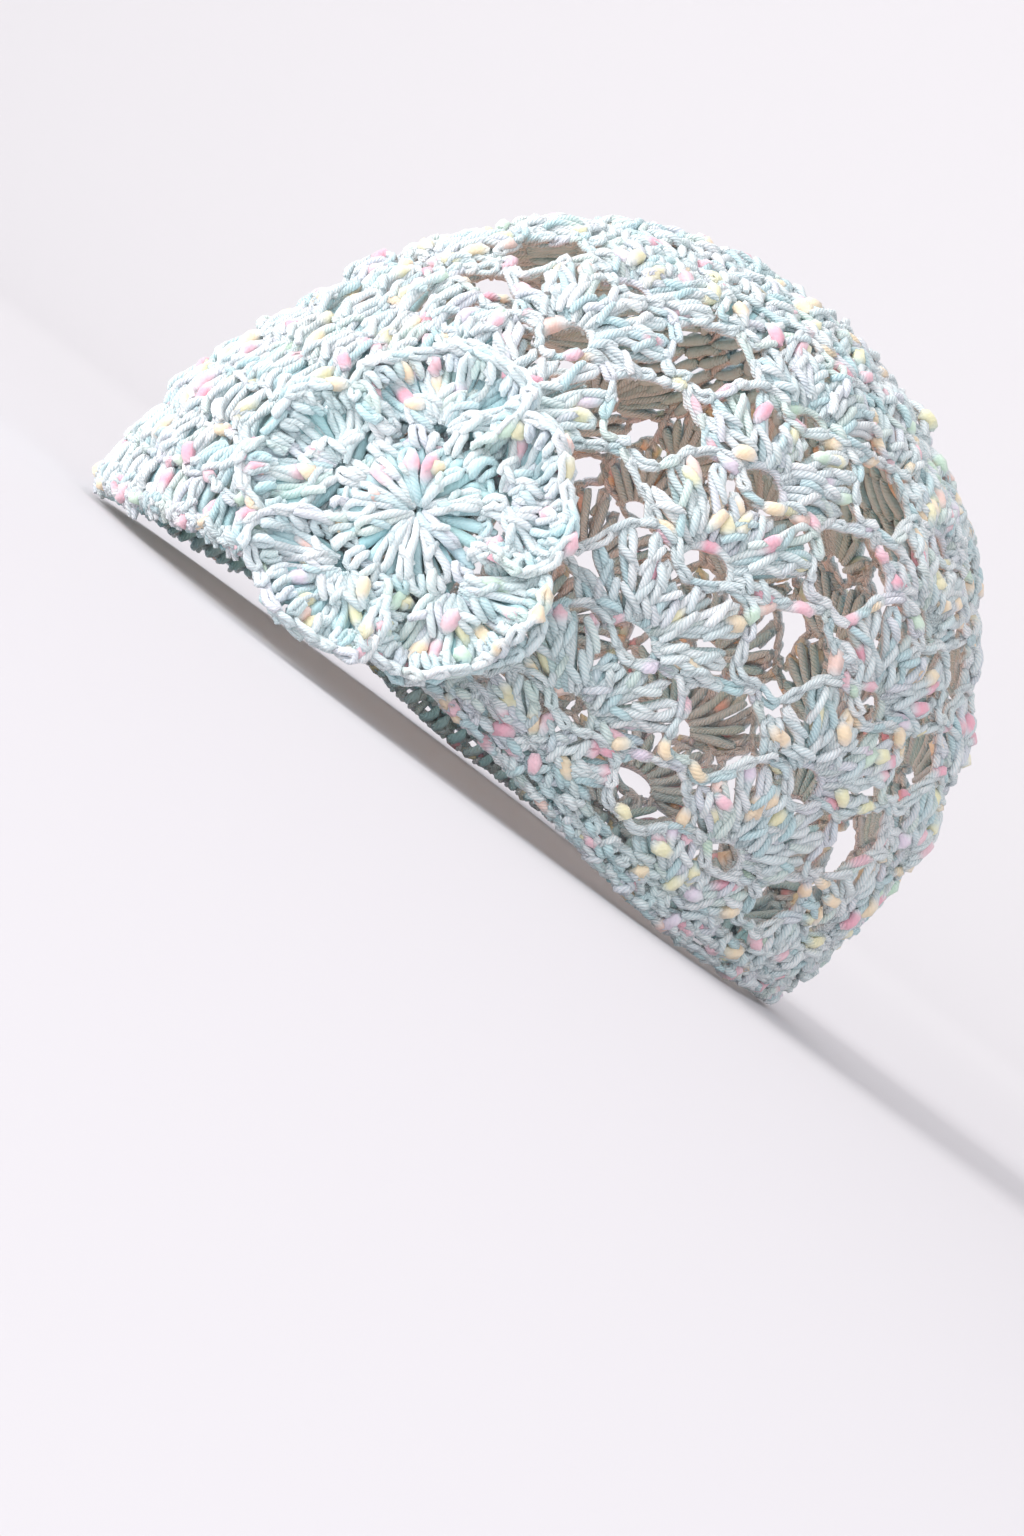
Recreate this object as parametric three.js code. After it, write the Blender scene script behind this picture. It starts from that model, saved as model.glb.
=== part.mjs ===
// Crochet hat: a doll-size cap of cotton yarn with open lace sides, a flared peak and a layered flower.
// Millimetres, +Z up through the crown. The hat stands on its rim, the peak faces -Y,
// and the flower is on the +X side of the front. Azimuths are in degrees from -Y toward +X,
// and polar angles are in degrees from +Z at the dome's centre.
import * as THREE from "three";

// Whole hat
const DOME_RADIUS = 59; // outer face of the worked dome
const DOME_CENTRE_Z = 24; // centre of the dome above the surface that the rim stands on
const CLOTH = 2.4; // thickness of the lace and the crown rounds
const THICK_CLOTH = 3.2; // thickness of the close rows of the band and the peak
const SEAM = 0.4; // gap between neighbouring pieces
const AXIS_X = -1.94; // the dome's axis, from the middle of the hat's box
const AXIS_Y = 3.7;

// Lace: columns of fans and holes between the band and the crown rounds, angles in degrees
const COLUMNS = 24; // a column of large holes, then a column of fans, twelve times round
const COLUMN_ANGLE = 360 / COLUMNS;
const FIRST_COLUMN = 57.5; // azimuth of the line where column 0 starts
const ROW_ANGLE = 13; // one round of fans
const LOWEST_ROUND = 101.5; // angle from the crown at which the lowest holes lie
const LEAN_PER_ROUND = 1.5; // the rounds lean away from the flower side as they rise
const LEAN_AZIMUTH = 253;
const SPREAD_PER_ROUND = 5; // and the columns open out on the flower side
const SPREAD_AZIMUTH = 65;
const HOLE_SIDES = 6;
const LACE_LINES = [107, 95, 82, 69, 56, 43]; // polar angles between the rounds of holes
const LACE_ROUNDS = [
  { pierced_from: 72, large_wide: 0.66, large_high: 0.6, small_wide: 0.38, small_high: 0.4 },
  { pierced_from: 57, large_wide: 0.66, large_high: 0.62, small_wide: 0.4, small_high: 0.42 },
  { pierced_from: 57, large_wide: 0.66, large_high: 0.62, small_wide: 0.4, small_high: 0.42 },
  { pierced_from: 0, large_wide: 0.66, large_high: 0.62, small_wide: 0.4, small_high: 0.42 },
  { pierced_from: 0, large_wide: 0.64, large_high: 0.6, small_wide: 0.4, small_high: 0.4 },
];

// Crown rounds
const CROWN_LINES = [42.65, 33, 22, 11]; // polar angles of the close rounds round the centre

// Peak
const PEAK_COLUMNS = 8; // the peak spans the last eight columns before column 0
const PEAK_LINES = [82.4, 88, 94, 100.5];
const FLARE = 12; // how far the peak's edge stands out from the dome
const FLARE_TOP_Z = 46;
const FLARE_POWER = 1.35;
const FLARE_FULL_ANGLE = 22; // full flare this far to each side of the front, and none at the end angle
const FLARE_END_ANGLE = 82;
const RIM_ARCHES = [
  { azimuth: 55, half: 62, rise: 7 }, // the rim arches up under the flower
  { azimuth: -72, half: 30, rise: 3 }, // and less on the other side
];
const ARCHED_FROM = 82; // the lowest rounds rise with the rim's arches from this polar angle down
const SCALLOP = 0.9; // shells along the arched stretches of the rim
const SCALLOPS_ROUND = 36;

// Band
const BAND_TOP = 107.7;
const RIM_POLAR = 114; // where the column lines meet the rim
const STEPS_PER_COLUMN = 3;

// Flower
const FLOWER_AZIMUTH = 50.5;
const FLOWER_POLAR = 88.5;
const FLOWER_LIFT = 0.5; // clear of the cloth that it is sewn to
const CENTRE_RADIUS = 9.9;
const CENTRE_THICKNESS = 4.2;
const CENTRE_LOBES = 8;
const PETALS = 5;
const FIRST_PETAL = 44; // direction of the first petal, from level toward the back, turning up
const PETAL_INNER = 10.4;
const PETAL_OUTER = 22.4;
const PETAL_HALF_ANGLE = 35;
const PETAL_CORNER_DROP = 3; // the outline is this much shorter at a petal's sides
const PETAL_THICKNESS = 2.2;
const PETAL_STEPS = 10;
const PETAL_SECTIONS = [
  { along: 0, lift: 0.2, ruffle: 0 },
  { along: 0.35, lift: 0.9, ruffle: 0.2 },
  { along: 0.72, lift: 2.0, ruffle: 0.5 },
  { along: 1, lift: 4.2, ruffle: 1.0 },
];

const YARN = new THREE.Color("#c8e3e8");
const YARN_DEEP = new THREE.Color("#b4dbe1");

const radians = THREE.MathUtils.degToRad;
const UP = new THREE.Vector3(0, 0, 1);

function level(azimuth) {
  return new THREE.Vector3(Math.sin(radians(azimuth)), -Math.cos(radians(azimuth)), 0);
}

function azimuthOf(point) {
  return THREE.MathUtils.radToDeg(Math.atan2(point.x, -point.y));
}

// A raised cosine: 1 at the middle, 0 from half a width away.
function bump(distance, half) {
  return Math.abs(distance) < half ? (1 + Math.cos((Math.PI * distance) / half)) / 2 : 0;
}

// How far the rim rises above the surface that the hat stands on, without its shells.
function archAt(azimuth) {
  const around = THREE.MathUtils.euclideanModulo(azimuth + 180, 360) - 180;
  return RIM_ARCHES.reduce((sum, arch) => sum + arch.rise * bump(around - arch.azimuth, arch.half), 0);
}

// Direction from the dome's centre of a place in the lace, whose rounds lean and whose columns spread.
function laceDirection(chartPolar, azimuth) {
  const share = THREE.MathUtils.clamp((chartPolar - ARCHED_FROM) / (BAND_TOP - ARCHED_FROM), 0, 1);
  const polar = chartPolar - share * THREE.MathUtils.radToDeg(archAt(azimuth) / DOME_RADIUS);
  const rise = (LOWEST_ROUND - polar) / ROW_ANGLE;
  const spread = SPREAD_PER_ROUND * rise * Math.sin(radians(azimuth - SPREAD_AZIMUTH));
  const direction = level(azimuth + spread).multiplyScalar(Math.sin(radians(polar)));
  direction.z = Math.cos(radians(polar));
  const axis = new THREE.Vector3().crossVectors(UP, level(LEAN_AZIMUTH));
  return direction.applyAxisAngle(axis, radians(LEAN_PER_ROUND * rise));
}

function flareAt(azimuth, z) {
  const aside = THREE.MathUtils.clamp(
    (FLARE_END_ANGLE - Math.abs(azimuth)) / (FLARE_END_ANGLE - FLARE_FULL_ANGLE), 0, 1);
  const down = THREE.MathUtils.clamp((FLARE_TOP_Z - z) / FLARE_TOP_Z, 0, 1);
  return FLARE * aside * aside * (3 - 2 * aside) * Math.pow(down, FLARE_POWER);
}

// A point on the hat in a direction from the dome's centre, raised from its outer face.
function onHat(direction, raised) {
  const point = direction.clone().multiplyScalar(DOME_RADIUS + raised);
  point.z += DOME_CENTRE_Z;
  const azimuth = azimuthOf(direction);
  return point.addScaledVector(level(azimuth), flareAt(azimuth, point.z));
}

// The same, but at a height.
function atHeight(azimuth, z, raised) {
  const rise = z - DOME_CENTRE_Z;
  const out = Math.sqrt((DOME_RADIUS + raised) ** 2 - rise * rise) + flareAt(azimuth, z);
  const point = level(azimuth).multiplyScalar(out);
  point.z = z;
  return point;
}

function rimHeight(azimuth) {
  const arch = archAt(azimuth);
  const shell = 1 + Math.cos(radians(SCALLOPS_ROUND * azimuth));
  return arch + (SCALLOP / 2) * shell * Math.min(1, arch / 2);
}

// A flat chart of points and triangles, numbered by key, that is made into a wall afterwards.
function makeChart() {
  const points = [];
  const faces = [];
  const numbers = new Map();
  function point(key, place) {
    if (!numbers.has(key)) {
      numbers.set(key, points.length);
      points.push(place);
    }
    return numbers.get(key);
  }
  return { points, faces, point };
}

// Fills the ring between two loops that turn the same way, whose corners carry their turn from 0 to 1.
function fillRing(chart, outer, inner) {
  let i = 0;
  let j = 0;
  while (i < outer.length || j < inner.length) {
    const a = outer[i % outer.length];
    const b = inner[j % inner.length];
    const nextA = i < outer.length ? (outer[i + 1] ? outer[i + 1].turn : 1 + outer[0].turn) : Infinity;
    const nextB = j < inner.length ? (inner[j + 1] ? inner[j + 1].turn : 1 + inner[0].turn) : Infinity;
    if (nextA <= nextB) {
      chart.faces.push([a.number, outer[(i + 1) % outer.length].number, b.number]);
      i += 1;
    } else {
      chart.faces.push([a.number, inner[(j + 1) % inner.length].number, b.number]);
      j += 1;
    }
  }
}

// Gives a chart its thickness: place(mark, raised) puts a mark on the outer (0) or inner (1) face.
function wallFrom(chart, place) {
  const count = chart.points.length;
  const positions = [];
  for (const side of [0, 1]) {
    for (const mark of chart.points) {
      positions.push(...place(mark, side).toArray());
    }
  }
  const edges = new Set();
  for (const face of chart.faces) {
    face.forEach((corner, k) => edges.add(corner + ":" + face[(k + 1) % 3]));
  }
  const index = [];
  for (const face of chart.faces) {
    const [a, b, c] = face;
    index.push(a, b, c);
    index.push(c + count, b + count, a + count);
    face.forEach((from, k) => {
      const to = face[(k + 1) % 3];
      if (!edges.has(to + ":" + from)) {
        index.push(to, from, from + count);
        index.push(to, from + count, to + count);
      }
    });
  }
  const geometry = new THREE.BufferGeometry();
  geometry.setAttribute("position", new THREE.Float32BufferAttribute(positions, 3));
  geometry.setIndex(index);
  return geometry;
}

// A chart of plain four-sided cells, split in two, over columns and lines.
function gridChart(columns, lines) {
  const chart = makeChart();
  const corner = (c, l) => chart.point(c + "/" + l, { c, l });
  for (let c = 0; c < columns; c += 1) {
    for (let l = 0; l < lines; l += 1) {
      const a = corner(c, l);
      const b = corner(c + 1, l);
      const d = corner(c + 1, l + 1);
      const e = corner(c, l + 1);
      chart.faces.push([a, b, d], [a, d, e]);
    }
  }
  return chart;
}

function columnAzimuth(column) {
  return FIRST_COLUMN + COLUMN_ANGLE * column;
}

function fromFront(azimuth) {
  return Math.abs(THREE.MathUtils.euclideanModulo(azimuth + 180, 360) - 180);
}

// The corners of one hole in its cell, whose sides run from 0 to 1.
function holeCorners(wide, high) {
  return Array.from({ length: HOLE_SIDES }, (_, k) => {
    const turn = (k + 0.5) / HOLE_SIDES;
    const angle = 2 * Math.PI * turn - Math.PI / 2 - Math.PI / 2;
    const across = 0.5 + (wide / 2) * Math.cos(angle);
    const up = 0.5 + (high / 2) * Math.sin(angle) / Math.cos(Math.PI / HOLE_SIDES);
    return { turn, across, up };
  });
}

// The pierced lace, with steps in its lower edge where the peak takes over.
function laceGeometry() {
  const chart = makeChart();
  const rounds = LACE_ROUNDS.length;
  const number = (c, l) => chart.point((c % COLUMNS) + "/" + l, { c: c % COLUMNS, l });
  for (let l = 0; l < rounds; l += 1) {
    const round = LACE_ROUNDS[l];
    for (let c = 0; c < COLUMNS; c += 1) {
      if (l < 2 && c >= COLUMNS - PEAK_COLUMNS) continue;
      const corners = [number(c, l), number(c + 1, l), number(c + 1, l + 1), number(c, l + 1)];
      const middle = columnAzimuth(c + 0.5);
      if (fromFront(middle) < round.pierced_from) {
        chart.faces.push([corners[0], corners[1], corners[2]], [corners[0], corners[2], corners[3]]);
        continue;
      }
      const large = c % 2 === 0;
      const wide = large ? round.large_wide : round.small_wide;
      const high = large ? round.large_high : round.small_high;
      const outer = corners.map((n, k) => ({ number: n, turn: (k + 0.5) / 4 }));
      const inner = holeCorners(wide, high).map((h, k) => ({
        number: chart.point(`hole ${c}/${l}/${k}`, { c: c + h.across, l: l + h.up }),
        turn: h.turn,
      }));
      fillRing(chart, outer, inner);
    }
  }
  return wallFrom(chart, (mark, side) => {
    const below = Math.min(Math.floor(mark.l), rounds - 1);
    const polar = THREE.MathUtils.lerp(LACE_LINES[below], LACE_LINES[below + 1], mark.l - below);
    return onHat(laceDirection(polar, columnAzimuth(mark.c)), -CLOTH * side);
  });
}

// The close rounds of the crown, closed at the centre.
function crownGeometry() {
  const chart = makeChart();
  const lines = CROWN_LINES.length;
  const number = (c, l) => chart.point((c % COLUMNS) + "/" + l, { polar: CROWN_LINES[l], c });
  const middle = chart.point("middle", { polar: 0, c: 0 });
  for (let c = 0; c < COLUMNS; c += 1) {
    for (let l = 0; l < lines - 1; l += 1) {
      const a = number(c, l);
      const b = number(c + 1, l);
      const d = number(c + 1, l + 1);
      const e = number(c, l + 1);
      chart.faces.push([a, b, d], [a, d, e]);
    }
    chart.faces.push([number(c, lines - 1), number(c + 1, lines - 1), middle]);
  }
  return wallFrom(chart, (mark, side) =>
    onHat(laceDirection(mark.polar, columnAzimuth(mark.c)), -CLOTH * side));
}

// The last line of a piece is the rim, whose height is given, and its faces at one height are level.
function rimPoint(azimuth, raised) {
  const around = azimuthOf(laceDirection(RIM_POLAR, azimuth));
  return atHeight(around, rimHeight(around), raised);
}

function peakGeometry() {
  const columns = PEAK_COLUMNS * STEPS_PER_COLUMN;
  const lines = PEAK_LINES.length;
  const start = columnAzimuth(COLUMNS - PEAK_COLUMNS) - 360;
  const inset = THREE.MathUtils.radToDeg(SEAM / DOME_RADIUS);
  return wallFrom(gridChart(columns, lines), (mark, side) => {
    const reach = THREE.MathUtils.lerp(inset, PEAK_COLUMNS * COLUMN_ANGLE - inset, mark.c / columns);
    const raised = -THICK_CLOTH * side + 0.3;
    const line = lines - mark.l;
    return line < lines
      ? onHat(laceDirection(PEAK_LINES[line], start + reach), raised)
      : rimPoint(start + reach, raised);
  });
}

function bandGeometry() {
  const columns = (COLUMNS - PEAK_COLUMNS) * STEPS_PER_COLUMN;
  const span = (COLUMNS - PEAK_COLUMNS) * COLUMN_ANGLE;
  const inset = THREE.MathUtils.radToDeg(SEAM / DOME_RADIUS);
  return wallFrom(gridChart(columns, 2), (mark, side) => {
    const azimuth = FIRST_COLUMN + THREE.MathUtils.lerp(inset, span - inset, mark.c / columns);
    const raised = -THICK_CLOTH * side + 0.3;
    const rim = rimPoint(azimuth, raised);
    if (mark.l === 0) return rim;
    const top = onHat(laceDirection(BAND_TOP, azimuth), raised);
    if (mark.l === 2) return top;
    return atHeight(azimuthOf(top), (top.z + rim.z) / 2, raised);
  });
}

// A point of the flower, by its distance from the flower's centre and its direction there.
function onFlower(distance, turn, raised) {
  const middle = level(FLOWER_AZIMUTH).multiplyScalar(Math.sin(radians(FLOWER_POLAR)));
  middle.z = Math.cos(radians(FLOWER_POLAR));
  const back = new THREE.Vector3().crossVectors(UP, middle).normalize();
  const up = new THREE.Vector3().crossVectors(middle, back).normalize();
  const along = back.multiplyScalar(Math.cos(turn)).addScaledVector(up, Math.sin(turn));
  const angle = distance / DOME_RADIUS;
  const direction = middle.clone().multiplyScalar(Math.cos(angle)).addScaledVector(along, Math.sin(angle));
  return onHat(direction, FLOWER_LIFT + raised);
}

function flowerCentreGeometry() {
  const chart = makeChart();
  const steps = CENTRE_LOBES * 4;
  const rings = [1, 0.75, 0.4];
  const number = (s, r) => chart.point((s % steps) + "/" + r, { s, r: rings[r] });
  const middle = chart.point("middle", { s: 0, r: 0 });
  for (let s = 0; s < steps; s += 1) {
    for (let r = 0; r < rings.length - 1; r += 1) {
      const a = number(s, r);
      const b = number(s + 1, r);
      const d = number(s + 1, r + 1);
      const e = number(s, r + 1);
      chart.faces.push([a, b, d], [a, d, e]);
    }
    chart.faces.push([number(s, rings.length - 1), number(s + 1, rings.length - 1), middle]);
  }
  return wallFrom(chart, (mark, side) => {
    const turn = (2 * Math.PI * mark.s) / steps;
    const lobe = 1 - 0.05 * (1 - Math.cos(CENTRE_LOBES * turn)) * mark.r;
    const domed = CENTRE_THICKNESS * (0.55 + 0.45 * Math.cos((Math.PI / 2) * mark.r));
    return onFlower(CENTRE_RADIUS * mark.r * lobe, turn, side ? 0 : domed);
  });
}

function petalGeometry(petal) {
  const lines = PETAL_SECTIONS.length - 1;
  const middle = FIRST_PETAL + (360 / PETALS) * petal;
  return wallFrom(gridChart(PETAL_STEPS, lines), (mark, side) => {
    const section = PETAL_SECTIONS[lines - mark.l];
    const aside = (2 * mark.c) / PETAL_STEPS - 1;
    const outer = PETAL_OUTER - PETAL_CORNER_DROP * Math.pow(Math.abs(aside), 2.5);
    const distance = THREE.MathUtils.lerp(PETAL_INNER, outer, section.along);
    const ruffle = section.ruffle * Math.cos(2 * Math.PI * aside);
    const raised = section.lift + ruffle + (side ? 0 : PETAL_THICKNESS);
    return onFlower(distance, radians(middle + PETAL_HALF_ANGLE * aside), raised);
  });
}

function yarnMesh(name, geometry, color) {
  const material = new THREE.MeshStandardMaterial({ color, roughness: 0.92, metalness: 0 });
  const mesh = new THREE.Mesh(geometry, material);
  mesh.name = name;
  return mesh;
}

const hat = new THREE.Group();
hat.add(yarnMesh("crown_top", crownGeometry(), YARN));
hat.add(yarnMesh("lace_side", laceGeometry(), YARN));
hat.add(yarnMesh("band", bandGeometry(), YARN));
hat.add(yarnMesh("peak", peakGeometry(), YARN));
const flower = new THREE.Group();
flower.add(yarnMesh("flower_centre", flowerCentreGeometry(), YARN_DEEP));
for (let petal = 0; petal < PETALS; petal += 1) {
  flower.add(yarnMesh("flower_petal_" + (petal + 1), petalGeometry(petal), YARN_DEEP));
}
hat.add(flower);

// The origin is on the surface that the rim stands on, under the middle of the hat's box.
hat.position.set(AXIS_X, AXIS_Y, 0);

export default hat;
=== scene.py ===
import math

import bmesh
import bpy
import numpy as np
from mathutils import Matrix, Vector


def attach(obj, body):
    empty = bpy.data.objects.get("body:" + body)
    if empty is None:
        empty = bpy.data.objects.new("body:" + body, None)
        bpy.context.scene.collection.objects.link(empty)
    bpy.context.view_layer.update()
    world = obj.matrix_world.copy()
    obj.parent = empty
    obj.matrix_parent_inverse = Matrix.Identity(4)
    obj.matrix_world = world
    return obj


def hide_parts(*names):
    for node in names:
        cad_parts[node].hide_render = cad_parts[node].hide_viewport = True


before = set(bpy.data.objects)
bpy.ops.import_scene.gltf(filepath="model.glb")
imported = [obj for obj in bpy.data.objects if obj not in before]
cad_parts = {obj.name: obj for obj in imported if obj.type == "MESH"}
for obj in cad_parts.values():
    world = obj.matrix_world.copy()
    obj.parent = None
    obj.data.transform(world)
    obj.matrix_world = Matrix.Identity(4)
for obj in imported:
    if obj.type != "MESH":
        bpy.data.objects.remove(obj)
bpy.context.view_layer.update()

MM = 0.001

# Form of the hat, as the solids have it (millimetres and degrees)
DOME_RADIUS = 59.0
DOME_CENTRE_Z = 24.0
AXIS = np.array([-1.94, 3.7, 0.0])
ROW_ANGLE = 13.0
LOWEST_ROUND = 101.5
LEAN_PER_ROUND = 1.5
LEAN_AZIMUTH = 253.0
SPREAD_PER_ROUND = 5.0
SPREAD_AZIMUTH = 65.0
FLARE = 12.0
FLARE_TOP_Z = 46.0
FLARE_POWER = 1.35
FLARE_FULL_ANGLE = 22.0
FLARE_END_ANGLE = 82.0
RIM_ARCHES = [(55.0, 62.0, 7.0), (-72.0, 30.0, 3.0)]  # azimuth of its middle, half its width, rise
ARCHED_FROM = 82.0  # the lowest rounds rise with the arches from this polar angle down
PEAK_FROM = -62.5  # azimuths of the peak's two sides
PEAK_TO = 57.5
PEAK_TOP = 82.0  # polar angle where the peak meets the lace
FRONT_FROM = -34.0  # the close rows run on above the peak between these azimuths
FRONT_TO = 43.0
BAND_TOP = 107.7
RIM_POLAR = 114.0
CROWN_EDGE = 43.0
FLOWER_AZIMUTH = 50.5
FLOWER_POLAR = 88.5
FLOWER_LIFT = 0.5

# Lace
REPEATS = 12
REPEAT_ANGLE = 360.0 / REPEATS
FIRST_FAN = 80.0  # azimuth of a column of fans
REPEAT_WIDTH = 31.0  # a fan and a large hole as they are laid out below
ROW_HEIGHT = 13.4
# The fans are wider round these azimuths: the middle, half the width of the place, and by how much
CLOSER = [(165.0, 75.0, 0.16), (252.0, 80.0, 0.42)]
LACE_DEPTH = -1.1  # middle of the lace's yarn below the hat's outer face
LACE_ROUNDS = range(-1, 5)
NO_FANS = {-1: 60.0, 0: 60.0, 1: 60.0, 2: 35.0}  # in these rounds the front is close up to this azimuth
LOWEST_SQUASH = 0.62  # the fans that stand on the band are lower than the others
LOWEST_LIFT = 5.6

# Yarn
YARN_RADIUS = 0.63
CHAIN_RADIUS = 0.5
LACE_BACKING_RADIUS = 0.72  # the yarn that lies behind the stitches is thicker
CLOSE_BACKING_RADIUS = 0.86
FLOWER_BACKING_RADIUS = 0.85
RIM_RADIUS = 0.56  # on the petals' rims
CHAIN_HALF = 0.48  # from the middle of a chain to the middle of each leg of its loops
CHAIN_STITCH = 3.0
STEP = 1.15  # length of one segment of yarn
CHAIN_STEP = 0.85
SIDES = 5
NUB_EVERY = 48.0
NUB_LENGTH = 2.8
NUB_SWELL = 0.85
PLIES = 5
PLY_PITCH = 3.0
WANDER = 0.12  # how far a length of yarn strays from its path

rng = np.random.default_rng(11)


# Colours

def linear(red, green, blue):
    """A colour given in 0 to 255 as the shader wants it."""
    c = np.array([red, green, blue]) / 255.0
    return np.where(c <= 0.04045, c / 12.92, ((c + 0.055) / 1.055) ** 2.4)


BASE_TINTS = [
    (0.30, linear(220, 230, 232)),
    (0.27, linear(233, 238, 239)),
    (0.15, linear(196, 221, 225)),
    (0.09, linear(226, 226, 234)),
    (0.08, linear(217, 230, 223)),
    (0.11, linear(243, 245, 246)),
]
# Painted shade: the teal that yarn lying in the depths and behind the stitches is tinted toward
PAINTED_SHADE_TINT = linear(138, 204, 210)
NUB_TINTS = [
    (0.24, linear(245, 193, 203)),
    (0.12, linear(241, 172, 187)),
    (0.26, linear(250, 221, 188)),
    (0.15, linear(245, 235, 192)),
    (0.11, linear(208, 231, 208)),
    (0.06, linear(247, 207, 196)),
    (0.06, linear(233, 216, 232)),
]


def pick(tints):
    """One of the tints, by their shares."""
    weights = np.array([w for w, _ in tints])
    return tints[rng.choice(len(tints), p=weights / weights.sum())][1]


# The hat's surface

def level(azimuth):
    """The level direction at an azimuth, which is counted from the front."""
    a = np.radians(azimuth)
    return np.stack([np.sin(a), -np.cos(a), np.zeros_like(a)], -1)


def azimuth_of(p):
    """The azimuth of places or directions, in degrees."""
    return np.degrees(np.arctan2(p[..., 0], -p[..., 1]))


def bump(distance, half):
    """A raised cosine: 1 at the middle, 0 from half a width away."""
    distance = np.asarray(distance, float)
    return np.where(np.abs(distance) < half, (1 + np.cos(np.pi * distance / half)) / 2, 0)


def rim_height(azimuth):
    """How far the rim rises above the surface that the hat stands on."""
    around = (np.asarray(azimuth, float) + 180) % 360 - 180
    return sum(rise * bump(around - middle, half) for middle, half, rise in RIM_ARCHES)


def lace_direction(polar, azimuth):
    """Direction from the dome's centre; the rounds lean and the columns spread as they rise."""
    polar, azimuth = np.broadcast_arrays(np.asarray(polar, float), np.asarray(azimuth, float))
    share = np.clip((polar - ARCHED_FROM) / (BAND_TOP - ARCHED_FROM), 0, 1)
    polar = polar - share * np.degrees(rim_height(azimuth) / DOME_RADIUS)
    rise = (LOWEST_ROUND - polar) / ROW_ANGLE
    turned = azimuth + SPREAD_PER_ROUND * rise * np.sin(np.radians(azimuth - SPREAD_AZIMUTH))
    d = level(turned) * np.sin(np.radians(polar))[..., None]
    d[..., 2] = np.cos(np.radians(polar))
    toward = level(np.array(LEAN_AZIMUTH))
    lean = np.radians(LEAN_PER_ROUND * rise)
    along = d @ toward
    up = d[..., 2]
    new_along = along * np.cos(lean) + up * np.sin(lean)
    new_up = up * np.cos(lean) - along * np.sin(lean)
    d = d + (new_along - along)[..., None] * toward
    d[..., 2] = new_up
    return d


def flare_at(azimuth, z):
    """How far the peak stands out past the dome at an azimuth and a height."""
    aside = np.clip((FLARE_END_ANGLE - np.abs(azimuth)) / (FLARE_END_ANGLE - FLARE_FULL_ANGLE), 0, 1)
    down = np.clip((FLARE_TOP_Z - z) / FLARE_TOP_Z, 0, 1)
    return FLARE * aside * aside * (3 - 2 * aside) * down ** FLARE_POWER


def uneven(azimuth, z):
    """The hand-made cloth swells and sinks a little from place to place."""
    a = np.radians(azimuth)
    return 0.3 * (np.sin(5 * a + 0.13 * z) + np.sin(3 * a - 0.21 * z + 2) + np.sin(11 * a + 0.3 * z + 1))


def on_hat(direction, raised):
    """A place on the hat in a direction from the dome's centre, raised from its outer face."""
    raised = np.asarray(raised, float) + uneven(azimuth_of(direction), DOME_RADIUS * direction[..., 2])
    p = direction * (DOME_RADIUS + raised)[..., None]
    p[..., 2] += DOME_CENTRE_Z
    azimuth = azimuth_of(direction)
    return p + level(azimuth) * flare_at(azimuth, p[..., 2])[..., None]


def at_height(azimuth, z, raised):
    """A place on the hat at an azimuth and a height."""
    given = [np.asarray(v, float) for v in (azimuth, z, raised)]
    azimuth, z, raised = np.broadcast_arrays(*given)
    out = np.sqrt((DOME_RADIUS + raised) ** 2 - (z - DOME_CENTRE_Z) ** 2) + flare_at(azimuth, z)
    p = level(azimuth) * out[..., None]
    p[..., 2] = z
    return p


# Charts: each takes millimetres across and up and a height off the cloth, and gives places on the hat

def lace_chart(column, row):
    """Laid out round the small hole of one fan, which is turned and bulged a little its own way."""
    own = np.random.default_rng(100 + 20 * column + row)
    turn = own.normal(0, 0.05)
    shift = own.normal(0, 0.35, 2)
    bulge = own.uniform(-0.2, 0.7)
    around = (FIRST_FAN + REPEAT_ANGLE * column) % 360
    wider = sum(more * bump(around - middle, half) for middle, half, more in CLOSER)

    def place(x, y, raised):
        near = np.exp(-((x / 11.0) ** 2 + ((y - 7) / 8.0) ** 2) ** 2)
        x, y = x + near * (shift[0] - turn * (y - 4)), y + near * (shift[1] + turn * x)
        raised = raised + bulge * near
        x = x * (1 + wider * (1 - np.minimum(np.abs(x) / 15.5, 1) ** 4))
        azimuth = FIRST_FAN + REPEAT_ANGLE * (column + x / REPEAT_WIDTH)
        polar = LOWEST_ROUND - ROW_ANGLE * (row + y / ROW_HEIGHT)
        return on_hat(lace_direction(polar, azimuth), raised + LACE_DEPTH)
    return place


def round_chart(azimuth_from, azimuth_to, polar_low, polar_high, depth):
    """u runs from 0 to 1 round the hat and v from 0 to 1 up it."""
    def place(u, v, raised):
        azimuth = azimuth_from + (azimuth_to - azimuth_from) * u
        polar = polar_low + (polar_high - polar_low) * v
        return on_hat(lace_direction(polar, azimuth), raised + depth)
    return place


def rim_chart(azimuth_from, azimuth_to, polar_top, depth, foot):
    """u runs along the rim, and v from 0 at the rim to 1 at the lace above it."""
    def place(u, v, raised):
        azimuth = azimuth_from + (azimuth_to - azimuth_from) * np.asarray(u, float)
        top = on_hat(lace_direction(polar_top, azimuth), np.zeros_like(azimuth))
        around_top = azimuth_of(top)
        around_rim = azimuth_of(lace_direction(RIM_POLAR, azimuth))
        wrap = (around_rim - around_top + 180) % 360 - 180
        around = around_top + wrap * (1 - v)
        low = rim_height(around) + foot
        z = low + (top[..., 2] - low) * v
        around = (around + 180) % 360 - 180
        return at_height(around, z, raised + depth)
    return place


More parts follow.
